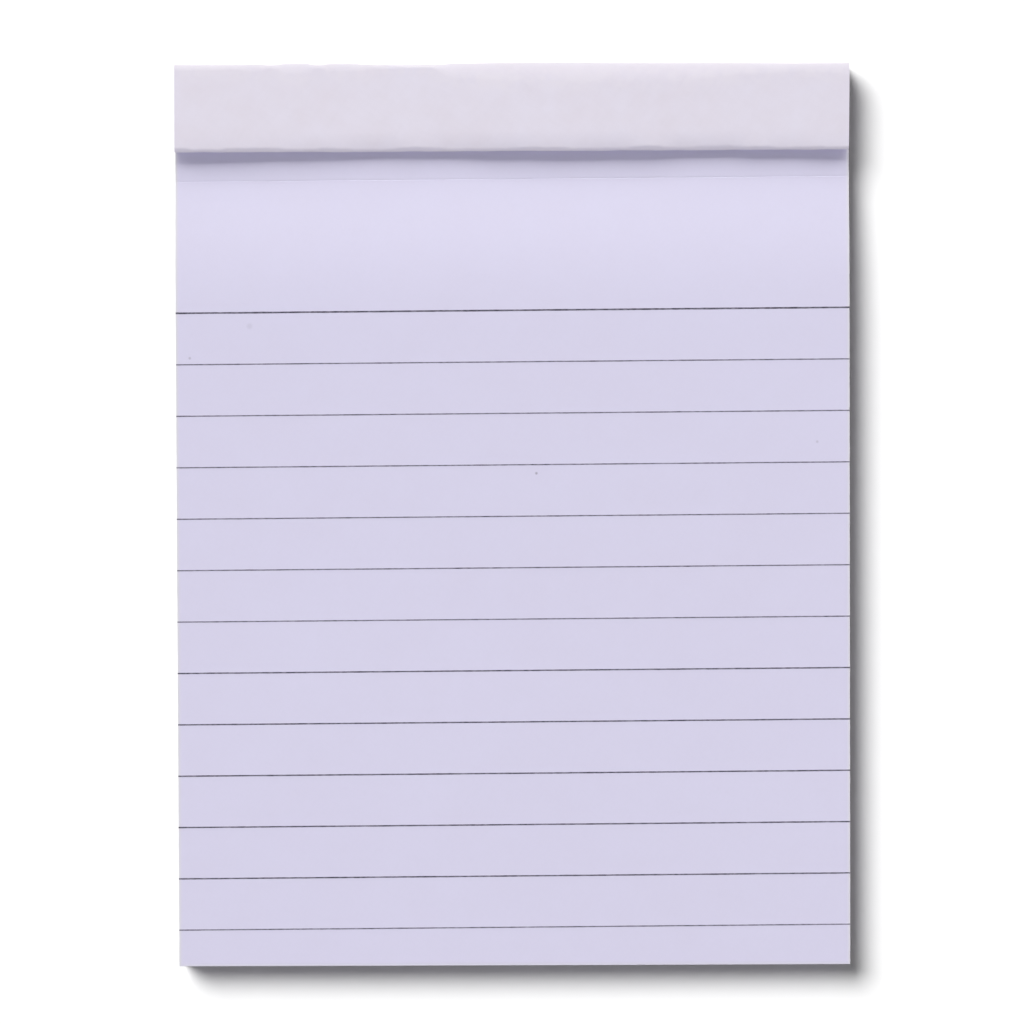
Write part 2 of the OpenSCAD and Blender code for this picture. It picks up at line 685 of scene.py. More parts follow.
@dataclass(frozen=True)
class StripPaper:
    """Thick white binding paper, a little warm in patches and rubbed creamy along its folds."""

    base: Colour = (0.745, 0.71, 0.768)
    warm: Colour = (0.722, 0.678, 0.724)
    rubbed: Colour = (0.752, 0.712, 0.752)
    clouds: Clouds = Clouds(60.0, 1.5)
    rubs: Clouds = Clouds(140.0, 3.0)
    fibres: Fibres = Fibres(1500.0, 5.0, (0.82, 0.92))
    fibre_share: float = 0.06
    fibre_shade: float = 0.8
    tooth: Relief = Relief(0.4, 0.012 * MM)
    specular: float = 0.2

    def material(self) -> bpy.types.Material:
        """Build the finish.

        Returns:
            The new material.
        """
        material, bench, shader = new_surface("strip_paper")
        place = bench.place()
        height, shade = self.fibres.roughen(bench, shader, place)
        colour = bench.tint(self.clouds.mask(bench, place), self.base, self.warm)
        fibre = bench.spread(shade, 0.0, 1.0, 0.0, self.fibre_share)
        colour = bench.tint(fibre, colour, tuple(self.fibre_shade * part for part in self.warm))
        wear = bench.math("MULTIPLY", bench.value("wear"), self.rubs.mask(bench, place))
        bench.fill(shader.inputs["Base Color"], bench.tint(wear, colour, self.rubbed))
        self.tooth.bump(bench, shader, height)
        set_gloss(shader, self.specular)
        return material


@dataclass(frozen=True)
class RulingInk:
    """Grey-black printing ink that lets the paper through where a line is thin."""

    ink: Colour = (0.075, 0.07, 0.09)
    paper: Colour = (0.66, 0.63, 0.75)
    fibres: Fibres = Fibres(2600.0, 4.0, (0.6, 0.8))
    uneven: tuple[float, float] = (0.35, 0.65)
    covers: tuple[float, float] = (0.8, 1.1)
    specular: float = 0.2

    def material(self) -> bpy.types.Material:
        """Build the finish.

        Returns:
            The new material.
        """
        material, bench, shader = new_surface("ruling_ink")
        height, _ = self.fibres.roughen(bench, shader, bench.place())
        broken = bench.spread(height, *self.uneven, *self.covers)
        cover = bench.math("MULTIPLY", bench.value("ink"), broken)
        bench.fill(shader.inputs["Base Color"], bench.tint(cover, self.paper, self.ink))
        set_gloss(shader, self.specular)
        return material


@dataclass(frozen=True)
class Greyboard:
    """Stiff board pressed from waste pulp, grey-brown with pale and dark flecks."""

    base: Colour = (0.39, 0.35, 0.3)
    deep: Colour = (0.33, 0.29, 0.24)
    pale: Flecks = Flecks((0.5, 0.465, 0.41), 1100.0, 0.3, 0.3)
    dark: Flecks = Flecks((0.2, 0.18, 0.16), 800.0, 0.24, 0.2)
    fleck_heading: float = 0.5
    fleck_stretch: float = 2.5
    clouds: Clouds = Clouds(90.0, 2.2)
    fibres: Fibres = Fibres(900.0, 6.0, (0.82, 0.96))
    fibre_share: float = 0.3
    tooth: Relief = Relief(0.5, 0.03 * MM)
    specular: float = 0.18

    def material(self) -> bpy.types.Material:
        """Build the finish.

        Returns:
            The new material.
        """
        material, bench, shader = new_surface("greyboard")
        place = bench.place()
        height, shade = self.fibres.roughen(bench, shader, place)
        heading, stretch = (0.0, 0.0, self.fleck_heading), (1.0, self.fleck_stretch, 1.0)
        drawn = bench.add("ShaderNodeMapping", {"Vector": place, "Rotation": heading, "Scale": stretch})
        colour = bench.tint(self.clouds.mask(bench, place), self.base, self.deep)
        fibre = bench.spread(shade, 0.0, 1.0, 0.0, self.fibre_share)
        colour = bench.tint(fibre, colour, self.deep)
        for flecks in (self.pale, self.dark):
            colour = bench.tint(flecks.mask(bench, drawn.outputs[0]), colour, flecks.colour)
        bench.fill(shader.inputs["Base Color"], colour)
        self.tooth.bump(bench, shader, height)
        set_gloss(shader, self.specular)
        return material


@dataclass(frozen=True)
class PaddingGum:
    """Dried white padding glue, rubbery and a little glossy where it pooled."""

    base: Colour = (0.8, 0.78, 0.7)
    aged: Colour = (0.72, 0.68, 0.56)
    clouds: Clouds = Clouds(260.0, 2.4)
    pools: Relief = Relief(0.4, 0.05 * MM)
    roughness: tuple[float, float] = (0.38, 0.6)
    specular: float = 0.4

    def material(self) -> bpy.types.Material:
        """Build the finish.

        Returns:
            The new material.
        """
        material, bench, shader = new_surface("padding_gum")
        cloud = self.clouds.mask(bench, bench.place())
        bench.fill(shader.inputs["Base Color"], bench.tint(cloud, self.base, self.aged))
        bench.fill(shader.inputs["Roughness"], bench.spread(cloud, 0.0, 1.0, *self.roughness))
        self.pools.bump(bench, shader, cloud)
        set_gloss(shader, self.specular)
        return material


@dataclass(frozen=True)
class PaleFloor:
    """The dull pale floor that the pad lies on, with hardly any change of tone."""

    base: Colour = (0.88, 0.88, 0.88)
    paler: float = 1.01
    clouds: Clouds = Clouds(6.0, 0.5)
    roughness: float = 0.95

    def material(self) -> bpy.types.Material:
        """Build the finish.

        Returns:
            The new material.
        """
        material, bench, shader = new_surface("pale_floor")
        cloud = self.clouds.mask(bench, bench.place())
        pale = tuple(self.paler * part for part in self.base)
        bench.fill(shader.inputs["Base Color"], bench.tint(cloud, self.base, pale))
        shader.inputs["Roughness"].default_value = self.roughness
        set_gloss(shader, 0.0)
        return material


@dataclass(frozen=True)
class PadSizes:
    """Sizes of the pad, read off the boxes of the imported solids, and its sides' close at the foot."""

    half_width: float
    foot: float
    head: float
    outer: float
    fold: float
    board_top: float
    nip_top: float
    full_top: float
    strip_top: float
    strip_thick: float
    gum_thick: float
    foot_trim: float = 0.13 * MM

    @classmethod
    def from_frame(cls) -> "PadSizes":
        """Read the sizes.

        Returns:
            The sizes of the pad.
        """
        leaf_low, leaf_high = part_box("page_block")
        gum_low, gum_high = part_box("head_gum")
        strip_low, strip_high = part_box("binding_strip")
        return cls(
            half_width=leaf_high.x,
            foot=leaf_low.y,
            head=leaf_high.y,
            outer=strip_high.y,
            fold=strip_low.y,
            board_top=leaf_low.z,
            nip_top=gum_high.z,
            full_top=leaf_high.z,
            strip_top=strip_high.z,
            strip_thick=gum_low.z,
            gum_thick=gum_high.y - gum_low.y,
        )

    def trimmed(self, x: Array, y: Array) -> Array:
        """Draw places in to the pad's trimmed sides, which close in evenly from the fold to the foot.

        Args:
            x: Places across the pad, on straight sides.
            y: Places along the pad.

        Returns:
            The places across the pad.
        """
        share = np.clip((self.fold - y) / (self.fold - self.foot), 0, 1)
        return x * (1 - share * self.foot_trim / self.half_width)


@dataclass(frozen=True)
class PageShape:
    """Form of the page's upper face, which the leaves and the ruling share."""

    sizes: PadSizes
    slope_run: float = 29.5 * MM
    slope_ease: float = 3.0
    slump: float = 0.1
    tear_gap: float = 4.7 * MM
    first_gap: float = 22.35 * MM
    skew: float = math.tan(math.radians(0.32))
    cockle: float = 0.03 * MM
    cockle_lengths: tuple[float, ...] = (83 * MM, 61 * MM, 47 * MM)

    @property
    def tear(self) -> float:
        """Y of the tear line at the middle of the page."""
        return self.sizes.fold - self.tear_gap

    def height(self, x: Array, y: Array) -> Array:
        """Height of the page: level to the tear line, then a climb to the full thickness, slightly cockled.

        The climb goes as 1 - (1 - u)^4 (1 + e u), where u goes from 0 at the tear line, where the leaf
        bends, to 1 at the climb's end, and e eases its start. Towards the sides the climb falls short by
        the square of the distance from the middle. The cockle is a low swell that fades in along it.

        Args:
            x: Places across the page.
            y: Places along the page.

        Returns:
            The heights at those places.
        """
        u = np.clip((self.tear + self.skew * x - y) / self.slope_run, 0, 1)
        rise = 1 - (1 - u) ** 4 * (1 + self.slope_ease * u)
        rise = rise * (1 - self.slump * (x / self.sizes.half_width) ** 2)
        wave = self.cockle * smooth_step(u) * swell(x, y, self.cockle_lengths, seed=11)
        return self.sizes.nip_top + (self.sizes.full_top - self.sizes.nip_top) * rise + wave


@dataclass
class PageBlock:
    """The leaves: the top leaf with its tear line, and the block of leaves under it."""

    shape: PageShape
    paper: PagePaper = PagePaper()
    edges: LeafEdges = LeafEdges()
    leaves: int = 50
    slit_pitch: float = 1.2 * MM
    slit_length: float = 0.7 * MM
    slit_depth: float = 0.03 * MM
    press: float = 0.007 * MM
    press_width: float = 0.18 * MM
    burr: float = 0.012 * MM
    burr_width: float = 0.08 * MM
    burr_off: float = 0.144 * MM
    skew_fade: float = 15 * MM
    ragged: float = 0.03 * MM
    ragged_lengths: tuple[float, ...] = (9 * MM, 5.2 * MM, 3.1 * MM)
    shift: float = 0.04 * MM
    uneven: tuple[float, float] = (0.85, 1.15)
    clearance: float = 0.03 * MM
    rim_width: float = 0.34 * MM
    foot_rim: float = 0.5
    foot_dip: float = 0.012 * MM
    brink: tuple[float, ...] = (0.0, 0.12 * MM, 0.25 * MM, 0.42 * MM, 0.7 * MM)
    brink_end: float = 1.2 * MM
    tear_steps: tuple[float, ...] = tuple(
        MM * step for step in (0.0, 0.04, 0.08, 0.14, 0.2, 0.28, 0.4, 0.6, 0.9))
    tear_end: float = 1.6 * MM
    open_rows: int = 95
    hidden_rows: int = 12
    across: int = 96
    along: int = 128
    seed: int = 7

    @property
    def leaf_thick(self) -> float:
        """Thickness of one leaf where the binding nips the block."""
        return (self.shape.sizes.nip_top - self.shape.sizes.board_top) / self.leaves

    def columns(self) -> tuple[Array, Array]:
        """Columns of the top leaf: both ends of every slit, the middle of every bridge and the brinks.

        Returns:
            X of each column, and 1 for a column in a slit or 0 for one beside it.
        """
        half = self.shape.sizes.half_width
        count = int(2 * half / self.slit_pitch) - 1
        centres = (np.arange(count) - (count - 1) / 2) * self.slit_pitch
        reach = self.slit_length / 2
        bridges = centres + self.slit_pitch / 2
        brink = half - np.array(self.brink)
        x = np.concatenate([centres - reach, centres + reach, bridges, -brink, brink])
        cut = np.concatenate([np.ones(2 * count), np.zeros(count + 2 * len(brink))])
        order = np.argsort(x)
        return x[order], cut[order]

    def rows(self) -> Array:
        """Y of the top leaf's rows at the middle of the page, crowded round the tear line.

        Returns:
            The rows from foot to head.
        """
        sizes, tear = self.shape.sizes, self.shape.tear
        near = np.array(self.tear_steps)
        brink = sizes.foot + np.array(self.brink)
        open_page = np.linspace(sizes.foot + self.brink_end, tear - self.tear_end, self.open_rows)
        under_strip = np.linspace(tear + self.tear_end, sizes.head, self.hidden_rows)
        beside = np.concatenate([tear - near[:0:-1], tear + near])
        return np.concatenate([brink, open_page, beside, under_strip])

    def top_leaf(self) -> Shell:
        """The sheet on top: the page's height less a pressed valley, with a row of slits along its floor.

        The valley falls off as a bell curve on both sides of the tear line, and a narrower bell curve
        raises a burr below each slit. The foot dips in half a bell curve. Rows near the tear line follow
        its skew, and further rows follow it less until they are square to the leaf. The sides are a little
        ragged.

        Returns:
            A closed thin sheet that carries its nearness to the cut edges at each point.
        """
        sizes = self.shape.sizes
        x, cut = self.columns()
        grid_x, grid_v = np.meshgrid(x, self.rows())
        off = grid_v - self.shape.tear
        follow = np.clip(1 - np.abs(off) / self.skew_fade, 0, 1)
        grid_y = grid_v + self.shape.skew * grid_x * follow
        beside = bell(sizes.half_width - np.abs(grid_x), self.rim_width)
        below = bell(grid_v - sizes.foot, self.rim_width)
        rim = np.maximum(beside, self.foot_rim * below)
        height = self.shape.height(grid_x, grid_y) - self.press * bell(off, self.press_width)
        height = height - self.foot_dip * below
        slit = self.slit_depth * cut * np.isclose(off, 0, atol=HAIR)
        slit = slit - self.burr * cut * bell(off + self.burr_off, self.burr_width)
        fray = self.ragged * ripple(grid_y, self.ragged_lengths, seed=3)
        grid_x = grid_x + np.where(np.abs(grid_x) >= sizes.half_width, fray, 0.0)
        grid_x = sizes.trimmed(grid_x, grid_y)
        upper = np.stack([grid_x, grid_y, height - slit], axis=-1)
        lower = np.stack([grid_x, grid_y, height - self.leaf_thick], axis=-1)
        return Shell(*closed_sheet(upper, lower), {"rim": np.tile(rim.ravel(), 2)})

    def lower_leaves(self) -> Shell:
        """The leaves under the top one: a slab whose wall has a ring for each face of every leaf.

        Each leaf lies a hair out of true, so its two rings share a small seeded shift, and the leaves
        share the height between the board and the top leaf in seeded unequal parts.

        Returns:
            A closed slab that carries the leaf number at each point.
        """
        sizes = self.shape.sizes
        x = np.linspace(-sizes.half_width, sizes.half_width, self.across + 1)
        y = np.linspace(sizes.foot, sizes.head, self.along + 1)
        grid_x, grid_y = np.meshgrid(x, y)
        under = self.shape.height(grid_x, grid_y) - self.leaf_thick - self.press - self.clearance
        grid_x = sizes.trimmed(grid_x, grid_y)
        upper = np.stack([grid_x, grid_y, under], axis=-1)
        lower = np.stack([grid_x, grid_y, np.full_like(grid_x, sizes.board_top)], axis=-1)
        edge = upper.reshape(-1, 3)[border(*grid_x.shape)]
        count = self.leaves - 1
        draw = np.random.default_rng(self.seed)
        levels = np.cumsum(np.concatenate([[0.0], draw.uniform(*self.uneven, count)]))
        levels = np.repeat(levels / levels[-1], 2)[1:-1]
        shifts = np.repeat(draw.uniform(-self.shift, self.shift, (count, 2)), 2, axis=0)
        flat = np.broadcast_to(edge[:, :2], (2 * count, len(edge), 2)) + shifts[:, None, :]
        tall = sizes.board_top + levels[:, None] * (edge[:, 2] - sizes.board_top)
        walls = np.concatenate([flat, tall[..., None]], axis=-1)
        numbers = np.repeat(np.arange(count + 1), 2)[1:-1].astype(float)
        leaf = np.concatenate([np.full(grid_x.size, float(count)), np.zeros(grid_x.size),
                               np.repeat(numbers, len(edge))])
        return Shell(*closed_sheet(upper, lower, walls), {"leaf": leaf})

    def build(self) -> list[bpy.types.Object]:
        """Make and dress both pieces.

        Returns:
            The top leaf and the leaves under it.
        """
        made = [
            self.top_leaf().piece("top_leaf", self.paper.material()),
            self.lower_leaves().piece("lower_leaves", self.edges.material()),
        ]
        for piece in made:
            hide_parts("page_block")
        return made


class LineWeight(Enum):
    """How a ruled line printed: its width and how well its ink covers."""

    HEAVY = (0.28 * MM, 0.97)
    FIRM = (0.232 * MM, 0.95)
    LIGHT = (0.198 * MM, 0.85)


@dataclass
class Ruling:
    """The printed lines of the top leaf, each a film of ink from edge to edge."""

    shape: PageShape
    ink: RulingInk = RulingInk()
    pitch: float = 8.73 * MM
    film: float = 0.012 * MM
    sunk: float = 0.004 * MM
    waver: float = 0.008 * MM
    waver_lengths: tuple[float, ...] = (21 * MM, 8 * MM, 3 * MM)
    uneven_width: float = 0.12
    width_lengths: tuple[float, ...] = (13 * MM, 5 * MM, 1.7 * MM)
    uneven_cover: float = 0.1
    cover_lengths: tuple[float, ...] = (17 * MM, 6 * MM, 2.3 * MM)
    points: int = 300
    weights: tuple[LineWeight, ...] = (
        (LineWeight.HEAVY,) + 6 * (LineWeight.LIGHT,) + 5 * (LineWeight.FIRM,) + (LineWeight.LIGHT,))

    def line(self, number: int, weight: LineWeight) -> Shell:
        """One ruled line: a ribbon of varying width that follows the page, a film's thickness above it.

        Args:
            number: Number of the line, from 0 at the top.
            weight: How the line printed.

        Returns:
            A closed ribbon that carries the cover of its ink at each point.
        """
        width, cover = weight.value
        sizes = self.shape.sizes
        x = np.linspace(-sizes.half_width, sizes.half_width, self.points)
        middle = self.shape.tear - self.shape.first_gap - number * self.pitch + self.shape.skew * x
        middle = middle + self.waver * ripple(x, self.waver_lengths, seed=100 + number)
        reach = width / 2 * (1 + self.uneven_width * ripple(x, self.width_lengths, seed=200 + number))
        grid_x = np.broadcast_to(x, (2, self.points))
        grid_y = np.stack([middle - reach, middle + reach])
        height = self.shape.height(grid_x, grid_y)
        grid_x = sizes.trimmed(grid_x, grid_y)
        upper = np.stack([grid_x, grid_y, height + self.film], axis=-1)
        lower = np.stack([grid_x, grid_y, height - self.sunk], axis=-1)
        patchy = cover * (1 + self.uneven_cover * ripple(x, self.cover_lengths, seed=300 + number))
        return Shell(*closed_sheet(upper, lower), {"ink": np.tile(patchy, 4)})

    def build(self) -> list[bpy.types.Object]:
        """Make and dress the ruling.

        Returns:
            The ruling as one piece.
        """
        lines = [self.line(number, weight) for number, weight in enumerate(self.weights)]
        made = Shell.joined(lines).piece("printed_ruling", self.ink.material())
        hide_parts("ruled_lines")
        return [made]


@dataclass
class BackingBoard:
    """The stiff board under the leaves, with a step in its back for the strip's flap."""

    sizes: PadSizes
    board: Greyboard = Greyboard()
    round_over: float = 0.12 * MM
    round_steps: tuple[float, ...] = (0.0, 0.1, 0.3, 0.6, 1.0)
    round_end: float = 0.36 * MM
    step_gap: float = 0.02 * MM
    step_slope: float = 0.02 * MM
    across: int = 60
    along: int = 80

    def graded(self, low: float, high: float, count: int, extra: Sequence[float] = ()) -> Array:
        """Places from one edge of the board to the other, crowded at both edges.

        Args:
            low: First edge.
            high: Second edge.
            count: Even steps between the edges.
            extra: Further places.

        Returns:
            The places in order.
        """
        soft = self.round_over * np.array(self.round_steps)
        inner = np.linspace(low + self.round_end, high - self.round_end, count)
        return np.sort(np.concatenate([low + soft, inner, high - soft, extra]))

    def slab(self) -> Shell:
        """The board: two level faces, rounded over at the edges, the lower one stepped up under the flap.

        Within the round-over, at d from the edge, a face falls back by r - sqrt(r^2 - (r - d)^2).

        Returns:
            A closed slab.
        """
        sizes, r = self.sizes, self.round_over
        step = sizes.fold - self.step_gap
        x = self.graded(-sizes.half_width, sizes.half_width, self.across)
        y = self.graded(sizes.foot, sizes.head, self.along, (step - self.step_slope, step))
        grid_x, grid_y = np.meshgrid(x, y)
        d = np.minimum(sizes.half_width - np.abs(grid_x),
                       np.minimum(grid_y - sizes.foot, sizes.head - grid_y))
        back = r - np.sqrt(np.clip(r**2 - np.clip(r - d, 0, r) ** 2, 0, None))
        floor = np.where(grid_y >= step - HAIR, sizes.strip_thick, 0.0)
        grid_x = sizes.trimmed(grid_x, grid_y)
        upper = np.stack([grid_x, grid_y, sizes.board_top - back], axis=-1)
        lower = np.stack([grid_x, grid_y, floor + back], axis=-1)
        return Shell(*closed_sheet(upper, lower))

    def build(self) -> list[bpy.types.Object]:
        """Make and dress the board.

        Returns:
            The board as one piece.
        """
        made = self.slab().piece("stiff_board", self.board.material())
        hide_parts("backing_board")
        return [made]


@dataclass
class HeadGum:
    """The dried glue along the head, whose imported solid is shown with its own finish."""

    gum: PaddingGum = PaddingGum()

    def build(self) -> list[bpy.types.Object]:
        """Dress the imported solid.

        Returns:
            The solid.
        """
        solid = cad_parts["head_gum"]
        solid.data.materials.clear()
        solid.data.materials.append(self.gum.material())
        return [solid]


class Run(Enum):
    """The runs of the strip's section, in order from its end on the page to its end on the back."""

    INNER = "inner"
    TUCK = "tuck"
    CROWN = "crown"
    FACE = "face"
    ROLL = "roll"
    HEAD = "head"
    HEM = "hem"
    BACK = "back"


@dataclass(frozen=True)
class Spot:
    """A short stretch across the pad, with a middle and a half length."""

    at: float
    half: float

    def shares(self, x: Array) -> Array:
        """How far places belong to it: 1 - q^2, with q from -1 to 1 along it, and nothing beyond."""
        return np.clip(1 - ((x - self.at) / self.half) ** 2, 0, None)


@dataclass(frozen=True)
class Crimp(Spot):
    """A spot where the crease bows away from the fold's edge, and how much less the crown sags there."""

    bow: float
    stiff: float


@dataclass(frozen=True)
class Dent(Spot):
    """A spot where the roll over the head is knocked in, and how much narrower the roll is there."""

    depth: float
    pinch: float


@dataclass
class Section:
    """A line of the strip's section in the Y-Z plane: places, outward directions and runs of its points."""

    y: Array
    z: Array
    out_y: Array
    out_z: Array
    run: Array

    @classmethod
    def joined(cls, parts: Sequence["Section"]) -> "Section":
        """Several lines as one."""
        names = ("y", "z", "out_y", "out_z", "run")
        return cls(*(np.concatenate([getattr(part, name) for part in parts]) for name in names))

    def on(self, run: Run) -> Array:
        """Whether each point is on a run."""
        return self.run == run.value


@dataclass
class FoldRows:
    """How each point of the strip's line follows the fold, with nothing where the fold doesn't reach.

    Attributes:
        reach: Distance from the fold's edge, on the crown and the face.
        drawn: Share of the edge's wandering, from 1 at the edge to 0 at the roll and at the glued end.
        raised: Share of the edge's lift, from 1 at the edge to 0 at the roll and on the page.
        hung: Share of the crown's drop and of the face's height.
        nosed: Height that the tight nose gives back.
        swollen: Share of the face's gentle swell.
        rubbed: Wear of the paper, from 1 at the edge.
    """

    reach: Array
    drawn: Array
    raised: Array
    hung: Array
    nosed: Array
    swollen: Array
    rubbed: Array


@dataclass
class HeadRows:
    """How each point of the strip's line follows the roll over the head, with nothing out of its reach.

    Attributes:
        held: Share of the face's height, from 1 on the roll to 0 at the gum.
        waved: Share of the outer edge's waves, from 1 at the roll's foot to 0 on the face and at the gum.
        sunk: Depth below the face, of which a shallower roll gives back a share.
        taken: Distance from the outer edge that widens with the roll, which fades out along the face.
        bulge: Share of the roll's bumps, in a half sine.
    """

    held: Array
    waved: Array
    sunk: Array
    taken: Array
    bulge: Array


@dataclass
class BindingStrip:
    """The paper strip that binds the head, doubled back at a soft fold that stands off the page."""

    sizes: PadSizes
    paper: StripPaper = StripPaper()
    crown_run: float = 3.2 * MM
    crown_drop: float = 0.65 * MM
    tuck_run: float = 1.2 * MM
    roll_run: float = 3.0 * MM
    roll_drop: float = 1.2 * MM
    fold_lean: float = 0.2 * MM
    fold_rise: float = 0.1 * MM
    fold_skew: float = 0.0015
    fold_waver: float = 0.06 * MM
    lift_lengths: tuple[float, ...] = (37 * MM, 21 * MM, 13 * MM)
    edge_lengths: tuple[float, ...] = (43 * MM, 19 * MM, 9 * MM, 5 * MM)
    fold_out: float = 0.08 * MM
    roll_waver: float = 0.05 * MM
    bump_run: float = 4.8 * MM
    bump_lengths: tuple[float, ...] = (61 * MM, 31 * MM, 17 * MM, 11 * MM, 6 * MM)
    face_swell: float = 0.02 * MM
    swell_lengths: tuple[float, ...] = (23 * MM, 15 * MM, 9 * MM)
    flap_gap: float = 0.03 * MM
    end_trim: float = 0.13 * MM
    rub_width: float = 0.6 * MM
    nose_share: float = 0.25
    sag_run: float = 3.6 * MM
    crease_margin: float = 0.45 * MM
    crease_wander: float = 0.25
    crease_lengths: tuple[float, ...] = (17 * MM, 7 * MM, 4 * MM, 2.3 * MM)
    crease_width: float = 0.05 * MM
    crease_slope: float = 0.52
    crease_ease: float = 0.6
    crease_groove: float = 0.01 * MM
    columns: int = 340
    flat_rows: int = 8
    tuck_rows: int = 12
    crown_rows: int = 60
    face_rows: int = 16
    roll_rows: int = 24
    free_rows: int = 2
    wall_rows: int = 5
    hem_rows: int = 8
    sags: tuple[float, ...] = tuple(MM * sag for sag in (
        0.1, 0.2, 0.25, 0.4, 0.5, 0.45, 0.5, 0.4, 0.5, 0.5, 0.45, 0.3, 0.1))
    face_heights: tuple[float, ...] = tuple(MM * height for height in (
        -0.17, -0.13, -0.22, -0.33, -0.37, -0.26, 0.11, 0.08, 0.1, -0.03, 0.0, -0.02, 0.12))
    head_waves: tuple[float, ...] = tuple(MM * wave for wave in (
        0.0, -0.02, -0.04, 0.04, 0.13, 0.12, 0.1, -0.02, -0.16, -0.3, 0.14, 0.17, 0.19,
        0.19, 0.19, 0.15, 0.11, 0.1, 0.1, 0.07, 0.04, -0.02, -0.07, -0.08, -0.08))
    roll_runs: tuple[float, ...] = tuple(MM * run for run in (
        1.3, 1.2, 1.1, 1.55, 2.0, 1.75, 1.5, 1.2, 0.9, 0.8, 2.7, 3.15, 3.6,
        3.5, 3.4, 3.5, 3.6, 3.5, 3.4, 2.85, 2.3, 2.05, 1.8, 2.0, 2.2))
    roll_shares: tuple[float, ...] = (
        0.5, 0.5, 0.5, 0.52, 0.55, 0.52, 0.5, 0.5, 0.5, 0.55, 0.95, 0.97, 1.0,
        1.0, 1.0, 1.0, 1.0, 1.0, 1.0, 0.92, 0.85, 0.72, 0.6, 0.58, 0.55)
    crimps: tuple[Crimp, ...] = (
        Crimp(-57.0 * MM, 3.0 * MM, 0.25 * MM, 0.5),
        Crimp(-43.2 * MM, 6.5 * MM, 0.28 * MM, 0.3),
        Crimp(-30.1 * MM, 3.0 * MM, 0.22 * MM, 0.3),
        Crimp(-16.0 * MM, 4.5 * MM, 0.27 * MM, 0.6),
        Crimp(5.5 * MM, 5.0 * MM, 0.18 * MM, 0.2),
        Crimp(23.6 * MM, 4.4 * MM, 0.34 * MM, 0.7),
        Crimp(34.5 * MM, 5.5 * MM, 0.28 * MM, 0.0),
        Crimp(42.0 * MM, 3.2 * MM, 0.2 * MM, 0.7),
        Crimp(50.5 * MM, 3.0 * MM, 0.08 * MM, 0.3),
    )
    dents: tuple[Dent, ...] = (
        Dent(-40.6 * MM, 2.0 * MM, 0.17 * MM, 0.5),
        Dent(-32.8 * MM, 1.7 * MM, 0.24 * MM, 0.5),
        Dent(-23.2 * MM, 1.2 * MM, 0.14 * MM, 0.3),
        Dent(-15.9 * MM, 3.6 * MM, 0.2 * MM, 0.0),
    )

    @property
    def face_run(self) -> float:
        """Length of the crown and the level face together."""
        return self.sizes.outer - self.roll_run - self.sizes.fold

    def straight(self, run: Run, start: tuple[float, float], end: tuple[float, float], count: int,
                 last: bool = False) -> Section:
        """A straight run, whose outward side is on the left of its way as seen from the right of the pad.

        Args:
            run: Which run it is.
            start: First point.
            end: Where the run ends.
            count: Points on the run.
            last: Whether the point at the end is among them, as no other run follows.

        Returns:
            The run's line.
        """
        t = np.linspace(0, 1, count, endpoint=last)
        y, z = (a + (b - a) * t for a, b in zip(start, end))
        way = np.subtract(end, start) / np.hypot(*np.subtract(end, start))
        return Section(y, z, np.full(count, -way[1]), np.full(count, way[0]), np.full(count, run.value))

    def bend(self, run: Run, centre: tuple[float, float], reach: tuple[float, float],
             turn: tuple[float, float], count: int) -> Section:
        """A bend along an ellipse: the centre plus the two reaches times the cosine and sine of an angle.

        Args:
            run: Which run it is.
            centre: Middle of the bend.
            reach: Half widths of the ellipse in Y and in Z.
            turn: First and last angle in degrees.
            count: Points on the run.

        Returns:
            The run's line.
        """
        angle = np.radians(turn[0] + (turn[1] - turn[0]) * np.arange(count) / count)
        lean_y, lean_z = np.cos(angle) / reach[0], np.sin(angle) / reach[1]
        size = np.hypot(lean_y, lean_z)
        return Section(centre[0] + reach[0] * np.cos(angle), centre[1] + reach[1] * np.sin(angle),
                       lean_y / size, lean_z / size, np.full(count, run.value))

    def section(self, inset: float) -> Section:
        """The strip's line before it is bent out of true.

        Args:
            inset: Distance of the line inside the strip's outer face.

        Returns:
            The line from the strip's end on the page to its end on the back.
        """
        s = self.sizes
        nose = s.strip_top - self.crown_drop
        hem = s.gum_thick + s.strip_thick
        roll_y, roll_z = s.outer - self.roll_run, s.strip_top - self.roll_drop
        crown_y, tuck_y = s.fold + self.crown_run, s.fold + self.tuck_run
        page, top, wall = s.nip_top + inset, s.strip_top - inset, s.outer - inset
        flap = s.fold + self.flap_gap
        tuck_reach = (self.tuck_run - inset, nose - page)
        crown_reach = (self.crown_run - inset, self.crown_drop - inset)
        roll_reach = (self.roll_run - inset, self.roll_drop - inset)
        return Section.joined([
            self.straight(Run.INNER, (s.head, page), (tuck_y, page), self.flat_rows),
            self.bend(Run.TUCK, (tuck_y, nose), tuck_reach, (270, 180), self.tuck_rows),
            self.bend(Run.CROWN, (crown_y, nose), crown_reach, (180, 90), self.crown_rows),
            self.straight(Run.FACE, (crown_y, top), (roll_y, top), self.face_rows),
            self.bend(Run.ROLL, (roll_y, roll_z), roll_reach, (90, 0), self.roll_rows),
            self.straight(Run.HEAD, (wall, roll_z), (wall, s.nip_top), self.free_rows),
            self.straight(Run.HEAD, (wall, s.nip_top), (wall, hem), self.wall_rows),
            self.bend(Run.HEM, (s.head, hem), (hem - inset, hem - inset), (0, -90), self.hem_rows),
            self.straight(Run.BACK, (s.head, inset), (flap, inset), self.flat_rows, last=True),
        ])

